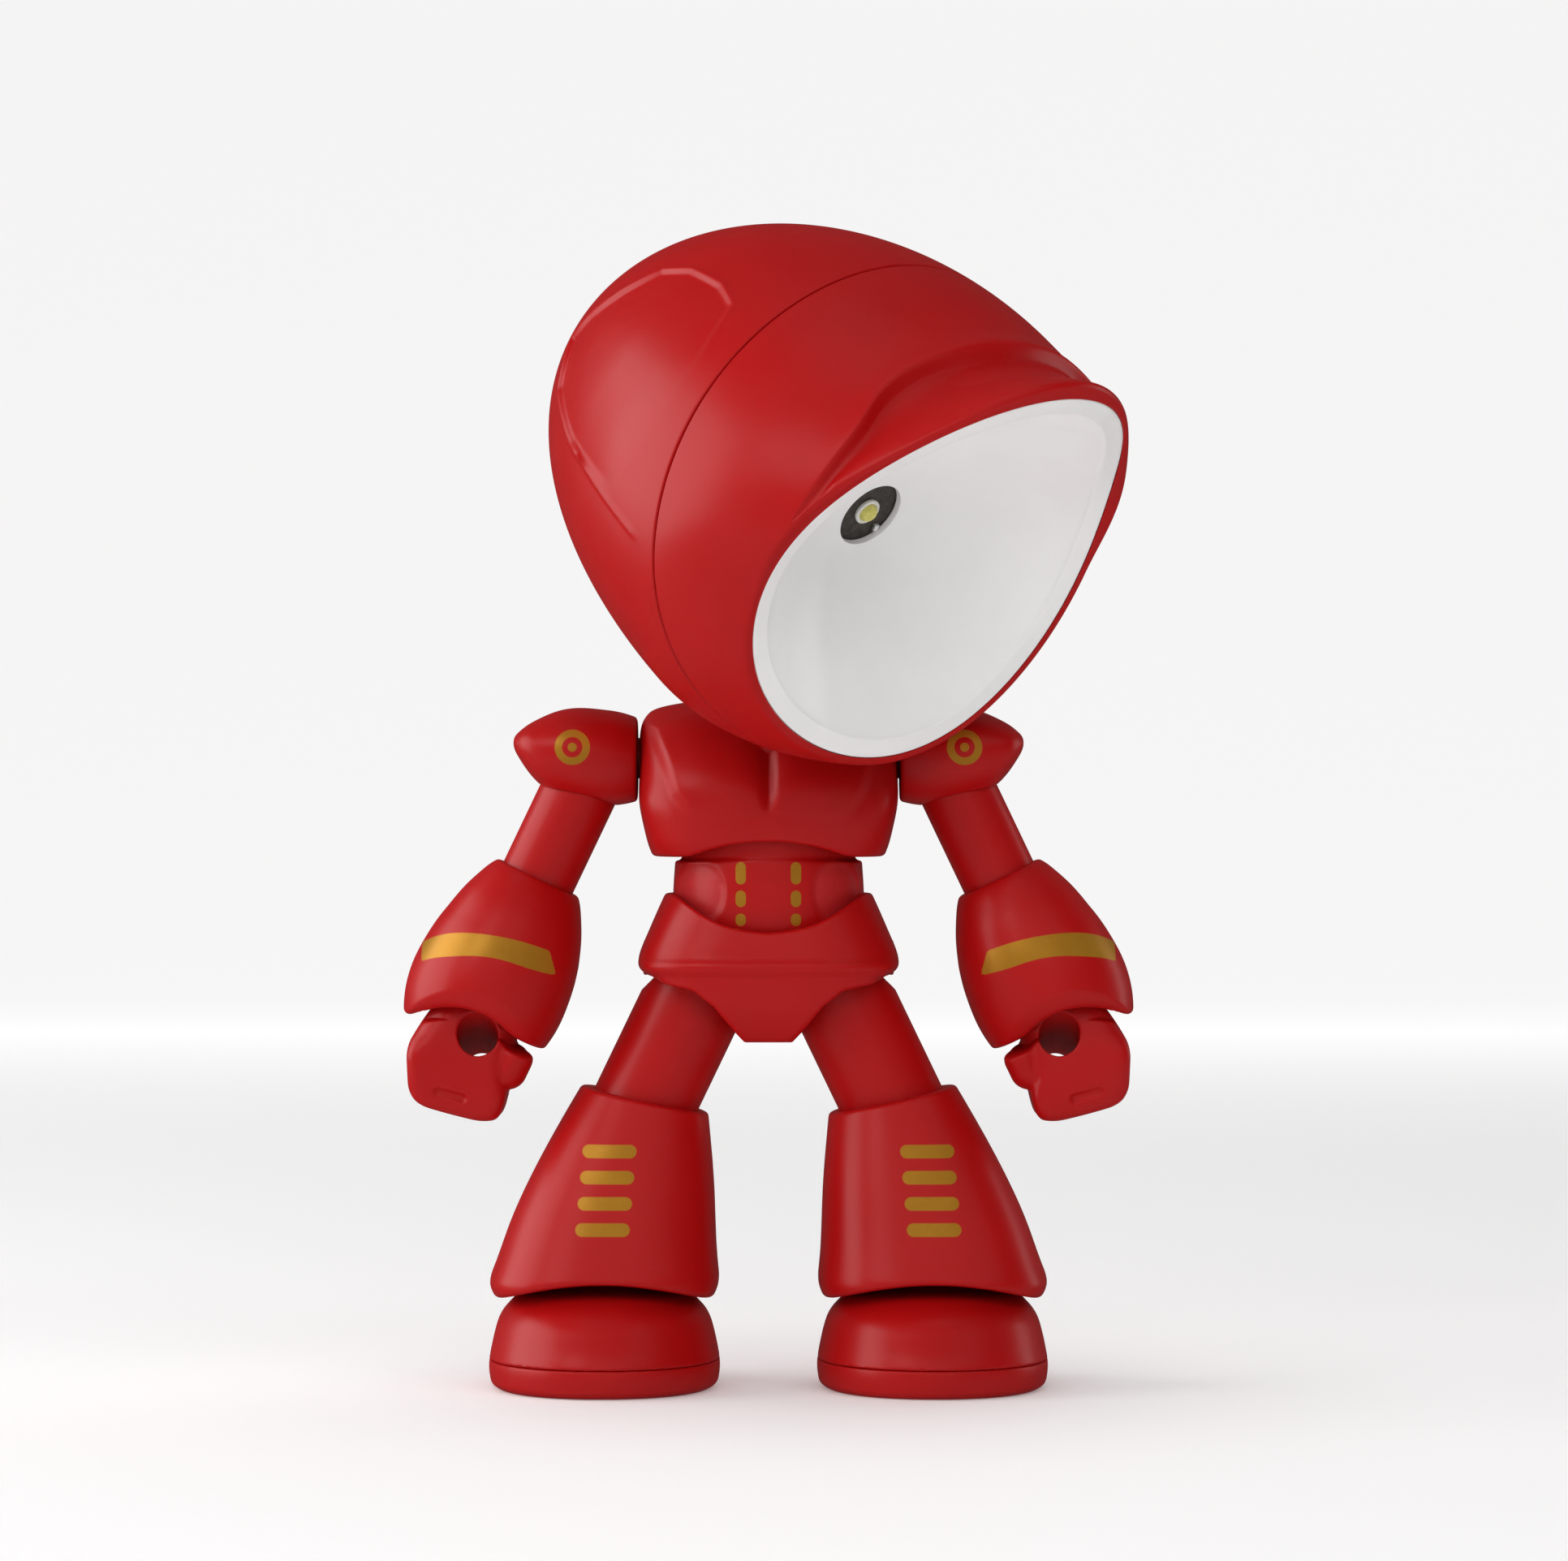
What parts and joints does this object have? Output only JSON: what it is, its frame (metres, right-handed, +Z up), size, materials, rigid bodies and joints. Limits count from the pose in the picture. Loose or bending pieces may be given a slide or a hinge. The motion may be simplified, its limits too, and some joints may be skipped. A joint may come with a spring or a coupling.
{
  "type": "night light",
  "caption": "Battery night light shaped as a standing jointed toy figure; its large tilted hood-shaped head holds a reflector bowl and an LED.",
  "frame": {"origin": "bottom centre of the overall box, on the floor under the soles", "axes": "+Z up, the figure faces -Y, +X is the figure's left hand side (the right of the picture)"},
  "size_m": [0.0894, 0.0734, 0.1412],
  "materials": {
    "red_plastic": "gloss red with gold printed markings",
    "satin_red_plastic": "satin red with gold printed bars",
    "reflector_silver": "satin silver-white",
    "board": "dark solder mask",
    "white_plastic": "matt white",
    "phosphor": "pale yellow resin",
    "dark_plastic": "matt black",
    "steel": "zinc plated",
    "cell_steel": "bright nickel",
    "wire": "smooth insulation"
  },
  "bodies": {
    "hips": {"pelvis_front": "red_plastic", "pelvis_back": "red_plastic", "hip_axle": "steel", "abdomen": "satin_red_plastic", "waist_pivot": "dark_plastic"},
    "chest": {"chest_front": "red_plastic", "chest_back": "red_plastic", "chest_screws": "steel", "neck_bush": "dark_plastic"},
    "neck": {"neck_post": "dark_plastic"},
    "neck_ring": {"neck_liner": "dark_plastic"},
    "head": {"head_rear_shell": "red_plastic", "head_front_hood": "red_plastic", "reflector": "reflector_silver", "led_board": "board", "led_package": "white_plastic", "led_window": "phosphor", "led_resistor": "dark_plastic", "board_screws": "steel", "neck_socket_base": "dark_plastic", "neck_socket_cap": "dark_plastic", "socket_screws": "steel", "battery_tray": "dark_plastic", "button_cells": "cell_steel", "battery_contacts": "steel", "battery_door": "red_plastic", "door_screw": "steel", "switch_body": "dark_plastic", "switch_bracket": "dark_plastic", "lead_wires": "wire"},
    "push_button": {"switch_button": "dark_plastic"},
    "arm_r": {"shoulder_pad_r": "red_plastic", "shoulder_pin_r": "dark_plastic", "upper_arm_r": "red_plastic", "elbow_screw_r": "dark_plastic"},
    "forearm_r": {"gauntlet_r": "red_plastic", "wrist_clevis_r": "dark_plastic", "wrist_pin_r": "steel"},
    "hand_r": {"fist_r": "red_plastic"},
    "leg_r": {"thigh_r": "red_plastic", "boot_r": "red_plastic", "ankle_socket_r": "dark_plastic"},
    "foot_body_r": {"foot_r": "red_plastic", "sole_r": "red_plastic", "sole_screw_r": "steel"},
    "arm_l": {"shoulder_pad_l": "red_plastic", "shoulder_pin_l": "dark_plastic", "upper_arm_l": "red_plastic", "elbow_screw_l": "dark_plastic"},
    "forearm_l": {"gauntlet_l": "red_plastic", "wrist_clevis_l": "dark_plastic", "wrist_pin_l": "steel"},
    "hand_l": {"fist_l": "red_plastic"},
    "leg_l": {"thigh_l": "red_plastic", "boot_l": "red_plastic", "ankle_socket_l": "dark_plastic"},
    "foot_body_l": {"foot_l": "red_plastic", "sole_l": "red_plastic", "sole_screw_l": "steel"}
  },
  "joints": [
    {"name": "waist_turn", "type": "hinge", "parent": "hips", "child": "chest", "pos_m": [0, 0.02236, 0.068], "axis": [0, 0, 1], "range_deg": [-30, 30]},
    {"name": "neck_turn", "type": "hinge", "parent": "chest", "child": "neck", "pos_m": [0, 0.01685, 0.07994], "axis": [0, -0.4226, 0.9063], "range_deg": [-91, 8]},
    {"name": "head_nod", "type": "hinge", "parent": "neck", "child": "neck_ring", "pos_m": [0, 0.01136, 0.09172], "axis": [0.6947, 0.7193, 0], "range_deg": [-34, 2]},
    {"name": "head_roll", "type": "hinge", "parent": "neck_ring", "child": "head", "pos_m": [0, 0.01136, 0.09172], "axis": [0.5571, -0.5379, -0.6327], "range_deg": [-3, 12]},
    {"name": "switch_push", "type": "slide", "parent": "head", "child": "push_button", "axis": [-0.5571, 0.5379, 0.6327], "range_m": [-0.001, 0], "stiffness_N_per_m": 300, "springref_m": 0.003},
    {"name": "shoulder_swing_r", "type": "hinge", "parent": "chest", "child": "arm_r", "pos_m": [-0.016, 0.02236, 0.077], "axis": [1, 0, 0], "range_deg": [-75, 60]},
    {"name": "forearm_turn_r", "type": "hinge", "parent": "arm_r", "child": "forearm_r", "pos_m": [-0.03089, 0.02236, 0.05706], "axis": [-0.4305, 0, -0.9026], "range_deg": [-60, 60]},
    {"name": "wrist_bend_r", "type": "hinge", "parent": "forearm_r", "child": "hand_r", "pos_m": [-0.03407, 0.02236, 0.05038], "axis": [0.9026, 0, -0.4305], "range_deg": [-12, 12]},
    {"name": "hip_swing_r", "type": "hinge", "parent": "hips", "child": "leg_r", "pos_m": [-0.0069, 0.02236, 0.052], "axis": [1, 0, 0], "range_deg": [-22, 22]},
    {"name": "ankle_tilt_r", "type": "hinge", "parent": "leg_r", "child": "foot_body_r", "pos_m": [-0.0201, 0.02236, 0.017], "axis": [1, 0, 0], "range_deg": [-6, 6]},
    {"name": "shoulder_swing_l", "type": "hinge", "parent": "chest", "child": "arm_l", "pos_m": [0.016, 0.02236, 0.077], "axis": [1, 0, 0], "range_deg": [-75, 60]},
    {"name": "forearm_turn_l", "type": "hinge", "parent": "arm_l", "child": "forearm_l", "pos_m": [0.03089, 0.02236, 0.05706], "axis": [0.4305, 0, -0.9026], "range_deg": [-60, 60]},
    {"name": "wrist_bend_l", "type": "hinge", "parent": "forearm_l", "child": "hand_l", "pos_m": [0.03407, 0.02236, 0.05038], "axis": [0.9026, 0, 0.4305], "range_deg": [-12, 12]},
    {"name": "hip_swing_l", "type": "hinge", "parent": "hips", "child": "leg_l", "pos_m": [0.0069, 0.02236, 0.052], "axis": [1, 0, 0], "range_deg": [-22, 22]},
    {"name": "ankle_tilt_l", "type": "hinge", "parent": "leg_l", "child": "foot_body_l", "pos_m": [0.0201, 0.02236, 0.017], "axis": [1, 0, 0], "range_deg": [-6, 6]}
  ]
}
